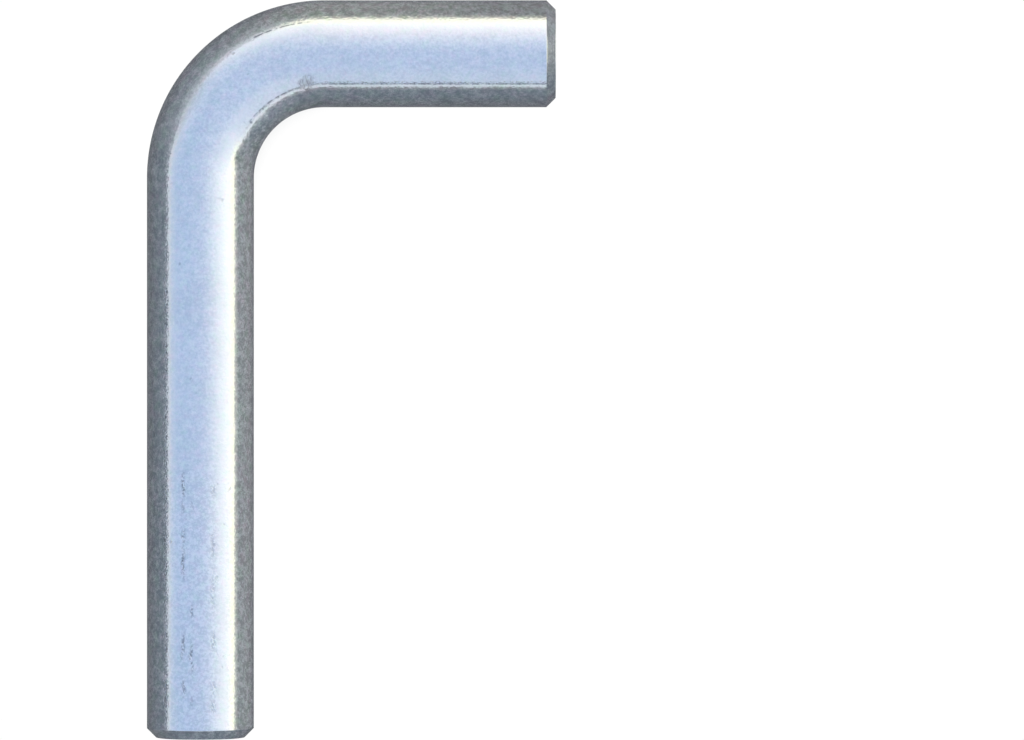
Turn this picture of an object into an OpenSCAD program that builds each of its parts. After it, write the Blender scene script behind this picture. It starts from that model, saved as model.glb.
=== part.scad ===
// Bent anchor pin: one round steel bar with a single 90 degree bend and a
// 45 degree chamfer on each cut end. The pin lies flat on its side, so both
// legs and the bend share one horizontal plane, half a bar diameter up.
// The long leg runs toward -Y and the short leg toward +X.

/* [Bar] */
// Diameter of the round bar
rod_d = 12.7; // [8:0.1:20]
// Height of the 45 degree chamfer on each cut end
chamfer = 1.1; // [0.3:0.05:2.5]

/* [Legs] */
// Long leg, from the short leg's axis to the cut end
long_len = 81.2; // [50:0.1:200]
// Short leg, from the long leg's axis to the cut end
short_len = 42.2; // [30:0.1:120]

/* [Bend] */
// Radius of the bend at the bar's centreline
bend_r = 14.75; // [11:0.05:25]

/* [Hidden] */
$fn = 96;
rod_r = rod_d / 2;
// Straight stretch of each leg, between the bend and the chamfer
long_straight = long_len - bend_r - chamfer;
short_straight = short_len - bend_r - chamfer;
// Where the two leg axes would cross, so that the origin is the middle of
// the pin's footprint, on the surface it lies on
corner_x = -(short_len - rod_r) / 2;
corner_y = (long_len - rod_r) / 2;

// A straight leg of bar along +Z with its chamfered end at the top
module leg(straight) {
    cylinder(h = straight, r = rod_r);
    translate([0, 0, straight])
        cylinder(h = chamfer, r1 = rod_r, r2 = rod_r - chamfer);
}

// The quarter turn between the legs, about the centre of the bend
module bend() {
    rotate([0, 0, 90])
        rotate_extrude(angle = 90)
            translate([bend_r, 0])
                circle(r = rod_r);
}

module bent_pin() {
    color("lightsteelblue")
        translate([corner_x, corner_y, rod_r])
            union() {
                translate([bend_r, -bend_r, 0]) bend();
                // long leg, toward -Y
                translate([0, -bend_r, 0]) rotate([90, 0, 0]) leg(long_straight);
                // short leg, toward +X
                translate([bend_r, 0, 0]) rotate([0, 90, 0]) leg(short_straight);
            }
}

bent_pin();
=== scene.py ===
import math

import bpy
import numpy as np
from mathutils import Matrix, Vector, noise


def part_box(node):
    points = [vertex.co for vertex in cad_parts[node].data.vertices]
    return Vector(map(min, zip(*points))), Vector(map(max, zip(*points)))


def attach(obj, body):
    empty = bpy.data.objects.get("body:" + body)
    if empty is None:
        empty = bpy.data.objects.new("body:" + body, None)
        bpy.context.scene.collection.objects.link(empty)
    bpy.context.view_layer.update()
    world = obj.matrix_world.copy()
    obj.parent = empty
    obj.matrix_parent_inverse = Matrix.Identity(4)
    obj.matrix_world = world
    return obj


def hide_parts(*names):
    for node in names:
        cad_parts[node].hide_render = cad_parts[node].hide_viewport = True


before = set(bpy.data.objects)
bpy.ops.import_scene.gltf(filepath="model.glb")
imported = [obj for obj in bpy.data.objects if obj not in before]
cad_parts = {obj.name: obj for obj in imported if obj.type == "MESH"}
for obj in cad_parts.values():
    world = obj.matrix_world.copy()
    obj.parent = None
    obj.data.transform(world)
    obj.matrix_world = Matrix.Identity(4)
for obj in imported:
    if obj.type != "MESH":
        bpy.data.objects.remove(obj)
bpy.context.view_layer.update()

MM = 0.001
# The pin's sizes, in metres, as the CAD model has them
R = 6.35 * MM
LONG = 81.2 * MM
SHORT = 42.2 * MM
BEND = 14.75 * MM
CHAMFER = 1.1 * MM

lo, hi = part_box("bent_pin")
for got, said in ((hi.z - lo.z, 2 * R), (hi.y - lo.y, LONG + R), (hi.x - lo.x, SHORT + R)):
    if abs(got - said) > 0.05 * MM:
        raise SystemExit("the CAD pin isn't the size that this script sweeps")

# Where the two leg axes cross, and the stretches of the centreline
CX, CY, CZ = lo.x + R, hi.y - R, lo.z + R
RUN_LONG = LONG - BEND
RUN_BEND = BEND * math.pi / 2
RUN_SHORT = SHORT - BEND
TOTAL = RUN_LONG + RUN_BEND + RUN_SHORT
TURN_X, TURN_Y = CX + BEND, CY - BEND
# Where the bending tool's edges marked the inside of the bend, in mm from the long leg's tip
SCUFF_B, SCUFF_A = 69.8, 86.8


# ---------------------------------------------------------------- the bar

def centreline(s):
    """Points and outward directions in plan, for distances s from the long leg's tip."""
    turn = np.clip((s - RUN_LONG) / BEND, 0, math.pi / 2)
    out_x, out_y = -np.cos(turn), np.sin(turn)
    before = np.minimum(s - RUN_LONG, 0)
    after = np.maximum(s - RUN_LONG - RUN_BEND, 0)
    x = TURN_X + BEND * out_x + after
    y = TURN_Y + BEND * out_y + before
    return x, y, out_x, out_y


def end_profile():
    """(distance from the tip, radius) from near the middle of the cut face to the full bar. Both edges of the chamfer are broken slightly."""
    broken_in, broken_out = 0.08 * MM, 0.06 * MM
    k = math.tan(math.radians(22.5))
    rim = R - CHAMFER
    points = [(0.0, rim * f) for f in (0.12, 0.3, 0.5, 0.7, 0.86, 0.95)]
    for a in np.radians(np.linspace(0, 45, 5)):
        points.append((broken_in * (1 - math.cos(a)), rim - broken_in * k + broken_in * math.sin(a)))
    start = (CHAMFER - broken_out * k * math.sqrt(0.5), R - broken_out * k * math.sqrt(0.5))
    last = points[-1]
    for f in (0.2, 0.4, 0.6, 0.8):
        points.append((last[0] + (start[0] - last[0]) * f, last[1] + (start[1] - last[1]) * f))
    for a in np.radians(np.linspace(45, 0, 5)):
        points.append((CHAMFER + broken_out * (k - math.sin(a)), R - broken_out * (1 - math.cos(a))))
    return points


def rings():
    """(distance along the centreline, radius) of every ring, tip to tip."""
    end = end_profile()
    marks = [end[-1][0], RUN_LONG, RUN_LONG + RUN_BEND, TOTAL - end[-1][0]]
    flank = []
    for a, b in zip(marks, marks[1:]):
        steps = max(2, round((b - a) / (0.26 * MM)))
        flank += [(a + (b - a) * i / steps, R) for i in range(1, steps)] + ([(b, R)] if b != marks[-1] else [])
    return end + flank + [(TOTAL - t, r) for t, r in reversed(end)]


def soft(value, low, high):
    t = np.clip((value - low) / (high - low), 0, 1)
    return t * t * (3 - 2 * t)


def hollow(s, psi):
    """How far the surface lies under the true bar, in metres, for arrays of distance along the bar and of angle from straight up."""
    deep = np.zeros_like(s)
    flat = np.stack([np.sin(psi) * 6.35, np.cos(psi) * 6.35, s / MM], axis=1)
    # Drawn bar is a little wavy along its length, and plating leaves a fine peel
    for i, p in enumerate(flat):
        wave = noise.noise((p[0] * 0.10 + 11, p[1] * 0.10, p[2] * 0.05))
        peel = noise.noise((p[0] * 0.9, p[1] * 0.9 + 7, p[2] * 0.7))
        deep[i] = 5e-6 * (1 + wave) + 1.6e-6 * (1 + peel)
    # The bending tool pressed a shallow groove into either side of the bend's inside, from SCUFF_B to SCUFF_A
    run = s / MM
    lengthwise = soft(run, SCUFF_B + 0.4, SCUFF_B + 4.0) * (1 - 0.65 * soft(run, SCUFF_A - 10, SCUFF_A - 2)) * (1 - soft(run, SCUFF_A - 0.3, SCUFF_A + 1.6))
    # degrees from the top or the bottom, whichever is nearer
    tilt = 90 - np.degrees(np.abs(np.abs((psi + math.pi) % (2 * math.pi) - math.pi) - math.pi / 2))
    inside = np.sin(psi) > 0
    deep += inside * 0.048 * MM * lengthwise * (1 - soft(np.abs(tilt - 33), 0, 19))
    # and its edge left a dent at the groove's start, with a nick in it
    dent = (1 - soft(np.abs(run - SCUFF_B - 0.2), 0, 2.8)) * 0.036 + (1 - soft(np.abs(run - SCUFF_B - 0.4), 0, 0.5)) * 0.025
    deep += inside * MM * dent * (1 - soft(np.abs(tilt - 51), 0, 14))
    return deep


def wrap(mesh, profile, turns):
    """Lay the bar out flat for baking: the flank as two strips side by side, and over them the two ends as discs."""
    n = len(profile)
    skin = len(end_profile()) - 1
    girth = 2 * math.pi * R / MM
    half = (n - 1) // 2
    run = np.array([p[0] for p in profile]) / MM
    # distance along the surface from the middle of each cut face to each ring
    step = np.hypot(np.diff([p[0] for p in profile]), np.diff([p[1] for p in profile])) / MM
    out = np.concatenate([[0.0], np.cumsum(step)]) + profile[0][1] / MM
    back = np.concatenate([[0.0], np.cumsum(step[::-1])])[::-1] + profile[-1][1] / MM
    side = 82.0
    uv = []

    def disc(ring, column):
        low = ring <= skin
        far = out[ring] if low else back[ring]
        a = 2 * math.pi * column / turns
        return (12 if low else 32) + far * 1.25 * math.sin(a), 71 + far * 1.25 * math.cos(a)

    for i in range(n - 1):
        for j in range(turns):
            corners = ((i, j), (i, j + 1), (i + 1, j + 1), (i + 1, j))
            if i < skin or i >= n - 1 - skin:
                uv += [disc(ring, column) for ring, column in corners]
            else:
                second = i >= half
                first = run[half] if second else run[skin]
                # the seam runs along the bottom
                at = (j + turns // 2) % turns
                for ring, column in corners:
                    u = (at + column - j) / turns * girth
                    uv.append((u + (41.5 if second else 0.6), run[ring] - first + 0.6))
    for ring in (0, n - 1):
        centre = (12, 71) if ring == 0 else (32, 71)
        for j in range(turns):
            pair = (disc(ring, j + 1), disc(ring, j))
            uv += [centre, *(pair if ring == 0 else reversed(pair))]
    layer = mesh.uv_layers.new(name="OFBake")
    layer.data.foreach_set("uv", (np.array(uv) / side).astype(np.float32).ravel())


def sweep():
    profile = rings()
    turns = 192
    psi = np.arange(turns) * 2 * math.pi / turns
    s = np.repeat([p[0] for p in profile], turns)
    r = np.repeat([p[1] for p in profile], turns)
    angle = np.tile(psi, len(profile))
    x, y, ox, oy = centreline(s)
    full = r / R
    r = r - hollow(s, angle) * np.clip((full - 0.8) / 0.2, 0, 1)
    # angle 0 is straight up; it grows toward the inside of the bend
    side = -np.sin(angle) * r
    verts = np.stack([x + side * ox, y + side * oy, CZ + np.cos(angle) * r], axis=1)
    straight = np.stack([np.sin(angle) * r, np.cos(angle) * r, s], axis=1) / MM
    n = len(profile)
    grid = np.arange(n * turns).reshape(n, turns)
    a, b = grid[:-1], grid[1:]
    # corners go round so that every face looks outward
    quads = np.stack([a, np.roll(a, -1, axis=1), np.roll(b, -1, axis=1), b], axis=-1).reshape(-1, 4)
    faces = quads.tolist()
    # middles of the two cut faces
    mids, mids_straight = [], []
    for at, ring, flip in ((0.0, grid[0], True), (TOTAL, grid[-1], False)):
        mx, my, _, _ = centreline(np.array([at]))
        mid = n * turns + len(mids)
        mids.append((mx[0], my[0], CZ))
        mids_straight.append((0.0, 0.0, at / MM))
        for i in range(turns):
            j = (i + 1) % turns
            faces.append((mid, int(ring[j]), int(ring[i])) if flip else (mid, int(ring[i]), int(ring[j])))
    verts = np.concatenate([verts, mids])
    straight = np.concatenate([straight, mids_straight])
    mesh = bpy.data.meshes.new("anchor_pin")
    mesh.from_pydata(verts.tolist(), [], faces)
    mesh.validate()
    if len(mesh.polygons) != len(faces):
        raise SystemExit("the swept mesh lost faces")
    wrap(mesh, profile, turns)
    held = mesh.attributes.new("straight", "FLOAT_VECTOR", "POINT")
    held.data.foreach_set("vector", straight.astype(np.float32).ravel())
    mesh.polygons.foreach_set("use_smooth", np.ones(len(mesh.polygons), bool))
    mesh.update()
    return bpy.data.objects.new("anchor_pin", mesh)


# ---------------------------------------------------------------- node helpers

class Num:
    """A number socket that builds a Math node when it is combined."""

    def __init__(self, tree, socket):
        self.tree, self.socket = tree, socket

    def math(self, operation, *others, clamp=False):
        node = self.tree.nodes.new("ShaderNodeMath")
        node.operation, node.use_clamp = operation, clamp
        for value, into in zip((self, *others), node.inputs):
            if isinstance(value, Num):
                self.tree.links.new(value.socket, into)
            else:
                into.default_value = value
        return Num(self.tree, node.outputs[0])

    def __add__(self, o):
        return self.math("ADD", o)

    def __sub__(self, o):
        return self.math("SUBTRACT", o)

    def __mul__(self, o):
        return self.math("MULTIPLY", o)

    def step(self, low, high, at_low=0.0, at_high=1.0):
        """A smooth step from at_low to at_high as this goes from low to high."""
        node = self.tree.nodes.new("ShaderNodeMapRange")
        node.interpolation_type, node.clamp = "SMOOTHSTEP", True
        self.tree.links.new(self.socket, node.inputs["Value"])
        for name, value in (("From Min", low), ("From Max", high), ("To Min", at_low), ("To Max", at_high)):
            node.inputs[name].default_value = value
        return Num(self.tree, node.outputs["Result"])

    def bell(self, middle, half):
        """1 at middle, falling smoothly to 0 at half a width from it."""
        return (self - middle).math("ABSOLUTE").step(0.0, half, 1.0, 0.0)


def blend(tree, fac, a, b, how="MIX"):
    """A colour between a and b; each is an RGB tuple or a socket."""
    node = tree.nodes.new("ShaderNodeMix")
    node.data_type, node.blend_type = "RGBA", how
    node.clamp_factor = True
    if isinstance(fac, Num):
        tree.links.new(fac.socket, node.inputs[0])
    else:
        node.inputs[0].default_value = fac
    for value, into in ((a, node.inputs[6]), (b, node.inputs[7])):
        if isinstance(value, tuple):
            into.default_value = (*value, 1.0)
        else:
            tree.links.new(value, into)
    return node.outputs[2]


def scaled(tree, vector, by, plus=(0, 0, 0)):
    node = tree.nodes.new("ShaderNodeVectorMath")
    node.operation = "MULTIPLY_ADD"
    tree.links.new(vector, node.inputs[0])
    node.inputs[1].default_value = by
    node.inputs[2].default_value = plus
    return node.outputs[0]


def parts(tree, vector):
    node = tree.nodes.new("ShaderNodeSeparateXYZ")
    tree.links.new(vector, node.inputs[0])
    return [Num(tree, o) for o in node.outputs]


def cloud(tree, vector, scale, detail=2.0, rough=0.5, bent=0.0):
    node = tree.nodes.new("ShaderNodeTexNoise")
    tree.links.new(vector, node.inputs["Vector"])
    node.inputs["Scale"].default_value = scale
    node.inputs["Detail"].default_value = detail
    node.inputs["Roughness"].default_value = rough
    node.inputs["Distortion"].default_value = bent
    return Num(tree, node.outputs["Fac"])


def rows(tree, value, scale, detail=2.0, rough=0.5):
    """Noise that varies with one number only."""
    node = tree.nodes.new("ShaderNodeTexNoise")
    node.noise_dimensions = "1D"
    tree.links.new(value.socket, node.inputs["W"])
    node.inputs["Scale"].default_value = scale
    node.inputs["Detail"].default_value = detail
    node.inputs["Roughness"].default_value = rough
    return Num(tree, node.outputs["Fac"])


# ---------------------------------------------------------------- zinc plate

def zinc():
    material = bpy.data.materials.new("zinc_plate")
    material.use_nodes = True
    tree = material.node_tree
    tree.nodes.clear()
    out = tree.nodes.new("ShaderNodeOutputMaterial")
    metal = tree.nodes.new("ShaderNodeBsdfPrincipled")
    tree.links.new(metal.outputs[0], out.inputs[0])

    here = tree.nodes.new("ShaderNodeTexCoord").outputs["Object"]
    here = scaled(tree, here, (1000, 1000, 1000))
    along = tree.nodes.new("ShaderNodeAttribute")
    along.attribute_name = "straight"
    along = along.outputs["Vector"]

    across, up, run = parts(tree, along)
    radius = (across * across + up * up).math("SQRT")
    flank = radius.step(6.25, 6.3)
    end = TOTAL / MM
    cut = run.step(0.06, 0.02) + run.step(end - 0.06, end - 0.02)
    crown = up.step(0.0, 2.0) * flank

    fine = cloud(tree, here, 3.0, 2.0, 0.6)
    medium = cloud(tree, scaled(tree, here, (1, 1, 1), (31, 7, 3)), 1.1, 2.0, 0.55)
    broad = cloud(tree, scaled(tree, here, (1, 1, 1), (5, 53, 17)), 0.22, 2.0, 0.5)
    green = cloud(tree, scaled(tree, here, (1, 1, 1), (17, 2, 71)), 1.3, 2.0, 0.55)
    blue = cloud(tree, scaled(tree, here, (1, 1, 1), (3, 91, 9)), 1.2, 2.0, 0.55)

    # the long leg's end has been in and out of its hole: coarser grain there
    rubbed = run.step(34.0, 28.0)
    # and so is the side that lay outward in the barrel: +X on the long leg, +Y on the short one
    outward = across * run.step(76.0, 83.0, 1.0, -1.0)
    inward = across.step(4.0, 4.8) * run.step(88.0, 92.0)
    coarse = outward.step(4.0, 4.8) * 0.95 + inward * 0.35 + 1.0
    # and the crown is smoother toward either side
    calm = (outward.bell(2.9, 1.35) * (rubbed * 0.2 + 0.5)).math("MAXIMUM", across.bell(-2.7, 1.0) * run.step(76.0, 70.0) * 0.35)
    grain = ((fine - 0.5) * (rubbed * 2.1 + 2.5) + (medium - 0.5) * (rubbed * 1.1 + 1.35)) * coarse * (calm * -1.0 + 1.0)

    # colour: bluish zinc, with a fine mottle and faint green, brown and violet tints
    shade = grain + (broad - 0.5) * 0.8 + 0.5
    colour = blend(tree, shade, (0.606, 0.652, 0.708), (0.714, 0.768, 0.834))
    colour = blend(tree, green.step(0.50, 0.75, 0.0, 1.0), colour, (0.955, 1.02, 0.97), "MULTIPLY")
    colour = blend(tree, green.step(0.50, 0.25, 0.0, 1.0), colour, (1.05, 0.98, 1.0), "MULTIPLY")
    colour = blend(tree, blue.step(0.50, 0.75, 0.0, 1.0), colour, (0.995, 0.995, 1.015), "MULTIPLY")
    colour = blend(tree, blue.step(0.50, 0.25, 0.0, 1.0), colour, (1.005, 1.005, 0.985), "MULTIPLY")
    # wider patches where the clear passivation over the zinc is a little thicker or thinner
    film = cloud(tree, scaled(tree, here, (1, 1, 1), (41, 3, 29)), 0.62, 1.0, 0.5)
    sides = (across * across).step(12.0, 22.0) * 0.65 + 0.35
    colour = blend(tree, film.step(0.52, 0.70) * sides, colour, (0.955, 1.015, 0.955), "MULTIPLY")
    colour = blend(tree, film.step(0.48, 0.30) * sides, colour, (1.045, 0.985, 1.02), "MULTIPLY")

    # painted shade: the colour is made darker on the outer side of the short leg's tip
    colour = blend(tree, outward.step(3.9, 4.5) * run.step(97.0, 110.5), colour, (0.83, 0.83, 0.86), "MULTIPLY")

    # draw lines: broken rows of small pits along the top of the long leg
    pits = None
    crumbs = cloud(tree, scaled(tree, along, (4.4, 4.4, 3.1), (2, 8, 5)), 1.0, 1.0, 0.5)
    sway = (cloud(tree, scaled(tree, along, (0, 0, 0.45), (4, 4, 1)), 1.0, 1.0, 0.5) - 0.5) * 0.9
    for row, wide, places in (
        (-1.72, 0.21, ((30.0, 1.7, 1.0), (27.3, 0.8, 0.6), (24.0, 1.0, 0.9), (21.0, 2.0, 1.0), (11.1, 1.6, 1.0), (6.2, 1.2, 0.8))),
        (-0.68, 0.19, ((27.7, 0.8, 0.4), (15.2, 0.8, 0.8), (9.8, 1.8, 1.0), (4.6, 0.7, 0.5))),
        (1.80, 0.30, ((29.4, 0.8, 0.5), (23.0, 1.6, 0.5), (17.8, 2.6, 0.4), (11.6, 1.2, 0.5), (6.0, 1.0, 0.4), (3.9, 0.8, 0.5))),
    ):
        there = None
        for at, half, deep in places:
            bell = run.bell(at, half * 1.5) * deep
            there = bell if there is None else there.math("MAXIMUM", bell)
        mark = (across + sway).bell(row, wide * 1.75) * there * crown
        pits = mark if pits is None else pits.math("MAXIMUM", mark)
    pits = (pits * crumbs.step(0.41, 0.55)).math("MINIMUM", 1.0)
    # more pits are scattered along the outer edge of the long leg's top
    specks = cloud(tree, scaled(tree, along, (4.6, 4.6, 4.0), (7, 3, 12)), 1.0, 0.0, 0.5)
    pits = pits.math("MAXIMUM", across.bell(-3.86, 0.42) * specks.step(0.57, 0.68) * run.step(60.0, 52.0, 0.25, 0.62) * run.step(72.0, 66.0) * crown)
    rare = cloud(tree, scaled(tree, along, (1, 1, 0.8), (9, 3, 7)), 1.3, 0.0, 0.5).step(0.80, 0.90)
    pits = pits.math("MAXIMUM", rare * 0.45)
    pits = pits.math("MAXIMUM", across.bell(3.66, 0.20) * specks.step(0.60, 0.70) * run.step(84.0, 88.0) * crown * 0.5)
    colour = blend(tree, pits * 0.85, colour, (0.19, 0.21, 0.25))
    patchy = cloud(tree, scaled(tree, along, (2.6, 2.6, 1.8), (4, 11, 6)), 1.0, 1.0, 0.5)
    colour = blend(tree, patchy.step(0.44, 0.60) * across.bell(4.12, 0.30) * run.step(84.0, 88.0) * crown, colour, (0.92, 0.93, 0.92), "MULTIPLY")

    # the bending tool's edge left a grey patch with fine cross marks where the short leg starts
    hatch = cloud(tree, scaled(tree, along, (1.3, 1.3, 5.0), (1, 6, 2)), 1.0, 1.0, 0.6).step(0.46, 0.62)
    blot = cloud(tree, scaled(tree, along, (1.6, 1.6, 1.3), (8, 2, 4)), 1.0, 1.0, 0.5)
    scuff = run.bell(SCUFF_A + 0.2, 2.1) * blot.step(0.30, 0.52) * across.bell(3.62, 1.55) * crown
    colour = blend(tree, scuff.step(0.02, 0.5) * 0.42, colour, (0.42, 0.43, 0.47))
    colour = blend(tree, hatch * scuff.step(0.1, 0.55) * 0.54, colour, (0.20, 0.21, 0.25))

    # two thin broken lines: the die's edge along the outside of the bend, and a draw line along the short leg
    breaks = cloud(tree, scaled(tree, along, (0, 0, 1.1), (6, 1, 4)), 1.0, 2.0, 0.6)
    die = across.bell(-3.56, 0.13) * run.step(82.6, 82.9) * run.step(88.6, 87.8) * breaks.step(0.42, 0.52)
    die = die.math("MAXIMUM", across.bell(-3.56, 0.22) * run.bell(82.95, 0.25))
    fade = cloud(tree, scaled(tree, along, (0, 0, 0.31), (2, 9, 7)), 1.0, 1.0, 0.5).step(0.38, 0.60, 0.35, 1.0)
    nicks = cloud(tree, scaled(tree, along, (0, 0, 3.4), (5, 5, 2)), 1.0, 1.0, 0.5).step(0.36, 0.56, 0.5, 1.0)
    drawn = across.bell(3.83, 0.13) * run.step(87.9, 88.6) * breaks.step(0.38, 0.56, 0.15, 0.9) * fade * nicks
    drawn = drawn.math("MAXIMUM", across.bell(3.90, 0.14) * run.step(75.6, 76.0) * run.step(86.4, 85.6) * breaks.step(0.42, 0.54) * 0.6)
    line = die.math("MAXIMUM", drawn)
    for where, at, size, deep in ((4.07, 75.97, 0.3, 1.0), (4.0, 78.9, 0.22, 0.8), (4.3, 69.6, 0.42, 0.7), (-3.82, 38.1, 0.28, 0.85), (-3.95, 23.6, 0.30, 0.9)):
        line = line.math("MAXIMUM", across.bell(where, size) * run.bell(at, size * 1.2) * deep)
    line = line * crown
    colour = blend(tree, line * 0.8, colour, (0.13, 0.15, 0.19))

    # the inside of the bend is burnished by the tool
    stray = cloud(tree, scaled(tree, along, (0.5, 0.5, 0.35), (3, 5, 13)), 1.0, 3.0, 0.6) - 0.5
    worn = run + stray * 9.0
    burnished = worn.step(SCUFF_B - 0.5, SCUFF_B + 6.5) * worn.step(SCUFF_A + 1.5, SCUFF_A - 5.5) * (across + stray * 1.1).step(3.9, 4.8)
    colour = blend(tree, burnished, colour, (1.22, 1.22, 1.19), "MULTIPLY")

    # the cut faces and their chamfers carry fine turning marks
    turned = rows(tree, radius, 6.0, 3.0, 0.7)
    chamfer = (cut * -1.0 + 1.0) * (flank * -1.0 + 1.0)
    colour = blend(tree, cut * turned.step(0.45, 0.75) * 0.25, colour, (0.45, 0.48, 0.52))
    # painted shade: the short leg's tip chamfer is made darker along its middle band
    colour = blend(tree, chamfer * across.bell(0.4, 1.9) * run.step(end - 2, end - 1.2), colour, (0.86, 0.87, 0.90), "MULTIPLY")
    tree.links.new(colour, metal.inputs["Base Color"])

    dull = (fine - 0.5) * 0.32 + (medium - 0.5) * 0.40 + 0.07
    dull = (dull + scuff * 0.12).math("MAXIMUM", 0.0)
    tree.links.new((dull * -1.0 + 1.0).socket, metal.inputs["Metallic"])
    rough = (medium - 0.5) * 0.14 + (fine - 0.5) * 0.30 + 0.082 + scuff * 0.10 + cut * 0.06 + burnished * 0.11
    tree.links.new(rough.math("MAXIMUM", 0.04).socket, metal.inputs["Roughness"])

    bump = tree.nodes.new("ShaderNodeBump")
    bump.inputs["Strength"].default_value = 1.0
    bump.inputs["Distance"].default_value = 1e-6
    # rougher along the outer edge of either leg's top
    uneven = outward.step(3.3, 3.9) * run.step(84.0, 88.0) * 1.1 + across.step(-3.3, -3.8) * run.step(72.0, 66.0) + 1.0
    height = ((fine - 0.5) * 11.0 + (medium - 0.5) * 7.0) * uneven - pits * 25.0 - hatch * scuff * 12.0 + turned * (cut * 34.0 + chamfer * 8.0) + radius.bell(0.0, 0.5) * cut * 60.0
    tree.links.new(height.socket, bump.inputs["Height"])
    tree.links.new(bump.outputs[0], metal.inputs["Normal"])
    return material


# ---------------------------------------------------------------- studio

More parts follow.
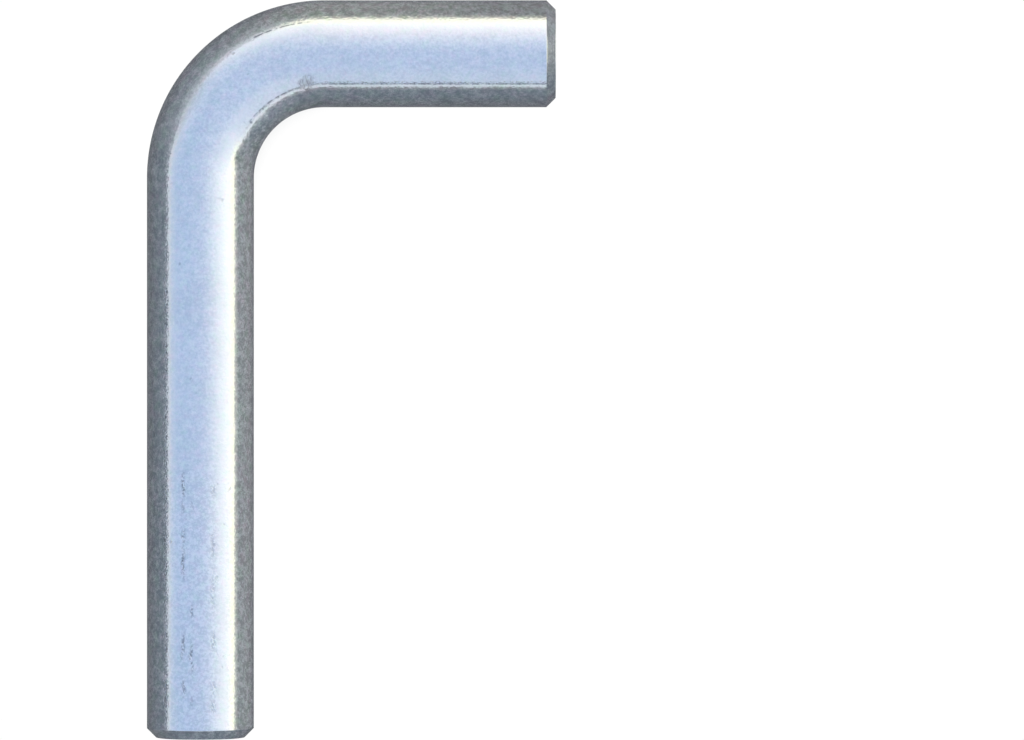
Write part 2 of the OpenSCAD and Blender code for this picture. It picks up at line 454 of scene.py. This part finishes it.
def studio():
    """A soft dome: bluish overhead, a broad white glow low toward +X +Y, and a grey band below. The floor and the background see plain white."""
    world = bpy.data.worlds.new("studio")
    bpy.context.scene.world = world
    world.use_nodes = True
    world.cycles.sampling_method = "NONE"
    tree = world.node_tree
    tree.nodes.clear()
    out = tree.nodes.new("ShaderNodeOutputWorld")
    light = tree.nodes.new("ShaderNodeBackground")
    tree.links.new(light.outputs[0], out.inputs[0])

    way = tree.nodes.new("ShaderNodeTexCoord").outputs["Generated"]
    x, y, z = parts(tree, way)
    lean = math.radians(4.8)
    height = (x * math.sin(lean) + z * math.cos(lean)).math("ARCSINE") * (180 / math.pi)
    height = height + y.math("ABSOLUTE") * 2.3 - y * 0.7
    height = height - y.bell(0.33, 0.38) * x.step(0.0, -0.3) * 6.5 - y.bell(-0.27, 0.27) * x.step(0.3, 0.7) * 3.5
    near = y.step(-0.35, -0.75)
    height = height - near * 1.25 - x.step(0.5, 0.9) * 0.35
    # the corner of the dome toward -X +Y, and both it and the opposite one
    behind = (x * y * -1.0) * x.step(0.05, -0.05)
    corner = x * y * -1.0
    toward = (x + y) * math.sqrt(0.5) + y.step(0.4, 0.9) * 0.035
    glow = ((toward + 0.05) * (1 / 0.73)).math("MAXIMUM", 0.0).math("MINIMUM", 1.0).math("POWER", 1.8)

    sky = blend(tree, x.step(-0.5, 0.05), (0.612, 0.75, 0.99), (0.665, 0.78, 1.01))
    front = y.step(-0.2, -0.7)
    haze = height.step(40, 18) + (height.step(70, 26) - height.step(40, 18)) * front
    sky = blend(tree, haze, sky, (0.735, 0.83, 0.985))
    sky = blend(tree, height.step(24, 15), sky, (0.87, 0.90, 0.94))
    # a thin dark line and a bright one under it run just above the border toward -Y
    sky = blend(tree, height.step(19.0, 17.5) * near, sky, (0.91, 0.97, 1.0))
    sky = blend(tree, height.bell(21.5, 3.1) * near * 0.72, sky, (0.0, 0.01, 0.02))
    sky = blend(tree, glow, sky, (1.56, 1.52, 1.42))
    sky = blend(tree, corner.step(0.04, 0.24) * 0.13, sky, (1.56, 1.52, 1.42))
    sky = blend(tree, behind.step(0.05, 0.2) * y.step(0.5, 0.72) * height.step(56, 28) * 0.2, sky, (1.75, 1.55, 1.42))
    left = y.bell(0.42, 0.34) * x.step(-0.3, -0.6)
    sky = blend(tree, left * height.step(38, 14) * 0.40, sky, (0.37, 0.40, 0.48))
    warm = height.step(30, 18) * toward.step(0.35, 0.6)
    sky = blend(tree, warm, sky, (1.64, 1.55, 1.20))
    # a dimmer ledge runs along the border there
    ledge = height.step(22.5, 18.0) * y.step(0.35, 0.72) * x.step(-0.08, -0.38)
    sky = blend(tree, ledge * 0.75, sky, (0.52, 0.53, 0.57), "MULTIPLY")
    sky = blend(tree, y.bell(0.70, 0.38) * x.step(-0.35, -0.1) * height.step(25, 35), sky, (1.0, 0.952, 0.97), "MULTIPLY")
    ground = blend(tree, height.step(-60, 0), (0.165, 0.172, 0.186), (0.205, 0.237, 0.268))
    ground = blend(tree, height.step(0, 12), ground, (0.33, 0.35, 0.385))
    ground = blend(tree, near * height.step(2, 11) * 0.5, ground, (0.41, 0.40, 0.395))
    bright = blend(tree, height.step(-60, 8), (0.33, 0.315, 0.312), (0.345, 0.36, 0.355))
    bright = blend(tree, height.step(0, 11.5), bright, (0.72, 0.70, 0.62))
    ground = blend(tree, toward.step(0.1, 0.65), ground, bright)
    ground = blend(tree, height.step(-75, 0) * behind.step(0.08, 0.35) * 0.36, ground, (0.42, 0.44, 0.46))
    ground = blend(tree, height.step(-9, 12) * behind.step(0.08, 0.35) * 0.8, ground, (0.52, 0.54, 0.58))
    ground = blend(tree, y.step(0.5, 0.95), ground, (0.95, 0.93, 0.86), "MULTIPLY")
    shown = blend(tree, height.step(12.0, 13.0), ground, sky)

    rays = tree.nodes.new("ShaderNodeLightPath")
    plain = blend(tree, toward * 0.5 + 0.5, (0.25, 0.25, 0.26), (1.75, 1.75, 1.74))
    plain = blend(tree, Num(tree, rays.outputs["Is Camera Ray"]), plain, (1.0, 1.0, 1.0))
    shown = blend(tree, Num(tree, rays.outputs["Is Glossy Ray"]), plain, shown)
    tree.links.new(shown, light.inputs["Color"])
    light.inputs["Strength"].default_value = 1.0


def floor():
    material = bpy.data.materials.new("pale_floor")
    material.use_nodes = True
    tree = material.node_tree
    tree.nodes.clear()
    out = tree.nodes.new("ShaderNodeOutputMaterial")
    # self-lit like a light table, with a painted shadow: an ambient occlusion node darkens the colour where the pin
    # lies close over it, so that only what lies under the pin is in painted shade
    shade = tree.nodes.new("ShaderNodeAmbientOcclusion")
    shade.samples = 24
    shade.inputs["Distance"].default_value = 0.03
    open_sky = Num(tree, shade.outputs["AO"])
    lit = tree.nodes.new("ShaderNodeEmission")
    # painted shadow colour: grey where the occlusion is strong, white in the open
    tree.links.new(blend(tree, open_sky.step(0.0, 0.46), (0.42, 0.43, 0.45), (1.0, 1.0, 1.0)), lit.inputs["Color"])
    lit.inputs["Strength"].default_value = 1.02
    tree.links.new(lit.outputs[0], out.inputs[0])
    h = 12.0
    mesh = bpy.data.meshes.new("floor")
    mesh.from_pydata([(-h, -h, lo.z), (h, -h, lo.z), (h, h, lo.z), (-h, h, lo.z)], [], [(0, 1, 2, 3)])
    mesh.materials.append(material)
    ob = bpy.data.objects.new("floor", mesh)
    bpy.context.scene.collection.objects.link(ob)
    ob.visible_glossy = False


def camera():
    data = bpy.data.cameras.new("camera")
    data.sensor_width = 36.0
    away = 0.7227
    data.lens = 36.0 * away / 0.12167
    data.clip_start, data.clip_end = 0.01, 50.0
    ob = bpy.data.objects.new("camera", data)
    ob.location = (CX + 37.02 * MM, CY - 37.57 * MM, CZ + away)
    ob.rotation_euler = (0, 0, 0)
    bpy.context.scene.collection.objects.link(ob)
    bpy.context.scene.camera = ob


pin = sweep()
bpy.context.scene.collection.objects.link(pin)
pin.data.materials.append(zinc())
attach(pin, "root")
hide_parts("bent_pin")

studio()
floor()
camera()
bpy.context.scene.view_settings.view_transform = "Standard"
